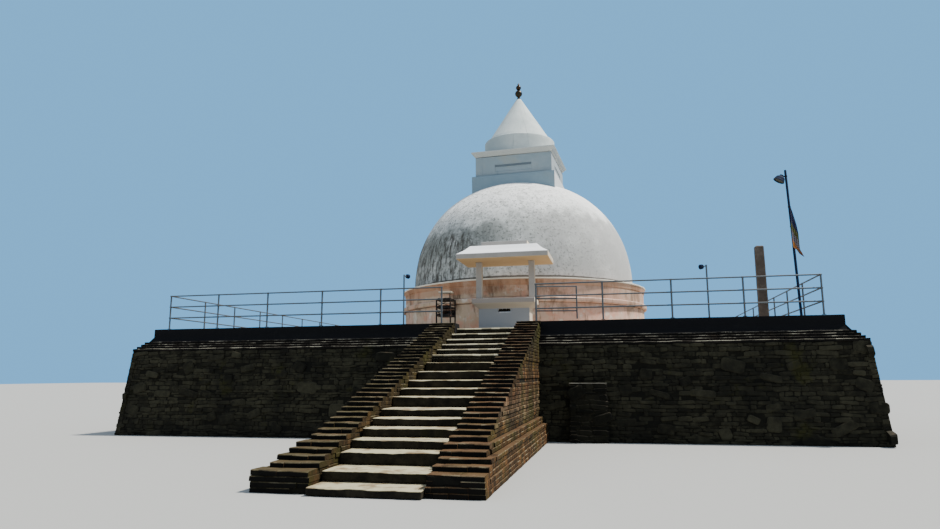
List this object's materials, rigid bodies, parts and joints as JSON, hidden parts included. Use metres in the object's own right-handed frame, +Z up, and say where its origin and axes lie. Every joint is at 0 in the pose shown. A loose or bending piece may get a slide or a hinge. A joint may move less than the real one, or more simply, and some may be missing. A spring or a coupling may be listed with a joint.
{
  "type": "stupa",
  "caption": "White domed stupa with a square chamber and cone, on a walled stone terrace with a stepped stair, railing and small roofed altar.",
  "frame": {"origin": "on the upright axis of the drum and dome, at ground level", "axes": "+Z up, +Y away from the stair, +X to the right as one faces the stair"},
  "size_m": [20.42, 25.58, 13.31],
  "materials": {
    "rubble_masonry": "dark weathered rubble stone laid in thin mortar, rough and dry",
    "coping_brick": "old brick courses blackened by lichen and rain, rough",
    "stair_brick": "old red-brown brick in thin courses, worn and stained, rough",
    "tread_stone": "pale worn stone slab, smooth on top and dark on the riser",
    "earth_fill": "packed earth and brick rubble inside the walls",
    "paving": "sandy stone paving, matt",
    "pink_plaster": "old pink lime plaster, streaked and patched, matt",
    "dome_limewash": "white limewash over plaster, streaked grey and black by rain",
    "chamber_limewash": "white limewash over plaster, lightly stained",
    "altar_plaster": "white painted plaster with soft edges, lightly stained",
    "rail_paint": "blue-grey painted steel pipe, dull and chipped",
    "pole_paint": "dark painted steel tube, dull",
    "stand_iron": "sooty black iron",
    "finial_bronze": "dark aged bronze with a little polish left",
    "pillar_stone": "brown weathered granite with lichen",
    "flag_cloth": "thin faded cloth in coloured stripes"
  },
  "bodies": {
    "stupa": {"altar": "altar_plaster", "altar_pillar_left": "altar_plaster", "altar_pillar_right": "altar_plaster", "altar_roof": "altar_plaster", "back_coping": "coping_brick", "back_railing": "rail_paint", "back_wall": "rubble_masonry", "brick_steps": "stair_brick", "chamber_base": "chamber_limewash", "chamber_cornice": "chamber_limewash", "chamber_walls": "chamber_limewash", "dome": "dome_limewash", "drum_cornice": "pink_plaster", "drum_moulding": "pink_plaster", "drum_wall": "pink_plaster", "finial": "finial_bronze", "flag": "flag_cloth", "flagpole": "pole_paint", "front_left_coping": "coping_brick", "front_left_railing": "rail_paint", "front_left_wall": "rubble_masonry", "front_right_coping": "coping_brick", "front_right_railing": "rail_paint", "front_right_wall": "rubble_masonry", "lamp_post_left": "rail_paint", "lamp_post_right": "rail_paint", "lamp_stand": "stand_iron", "left_coping": "coping_brick", "left_parapet": "stair_brick", "left_railing": "rail_paint", "left_wall": "rubble_masonry", "right_coping": "coping_brick", "right_parapet": "stair_brick", "right_railing": "rail_paint", "right_wall": "rubble_masonry", "spire_cone": "chamber_limewash", "spire_neck": "chamber_limewash", "stair_core": "earth_fill", "stone_pillar": "pillar_stone", "stone_step_01": "tread_stone", "stone_step_02": "tread_stone", "stone_step_03": "tread_stone", "stone_step_04": "tread_stone", "stone_step_05": "tread_stone", "stone_step_06": "tread_stone", "stone_step_07": "tread_stone", "stone_step_08": "tread_stone", "stone_step_09": "tread_stone", "stone_step_10": "tread_stone", "stone_step_11": "tread_stone", "stone_step_12": "tread_stone", "terrace_fill": "earth_fill", "terrace_floor": "paving", "wall_buttress": "rubble_masonry"},
    "gate_leaf": {"gate_leaf": "rail_paint"}
  },
  "joints": [
    {"name": "gate_hinge", "type": "hinge", "parent": "stupa", "child": "gate_leaf", "pos_m": [1.375, -7.365, 3.65], "axis": [0, 0, 1], "range_deg": [0, 167]}
  ]
}
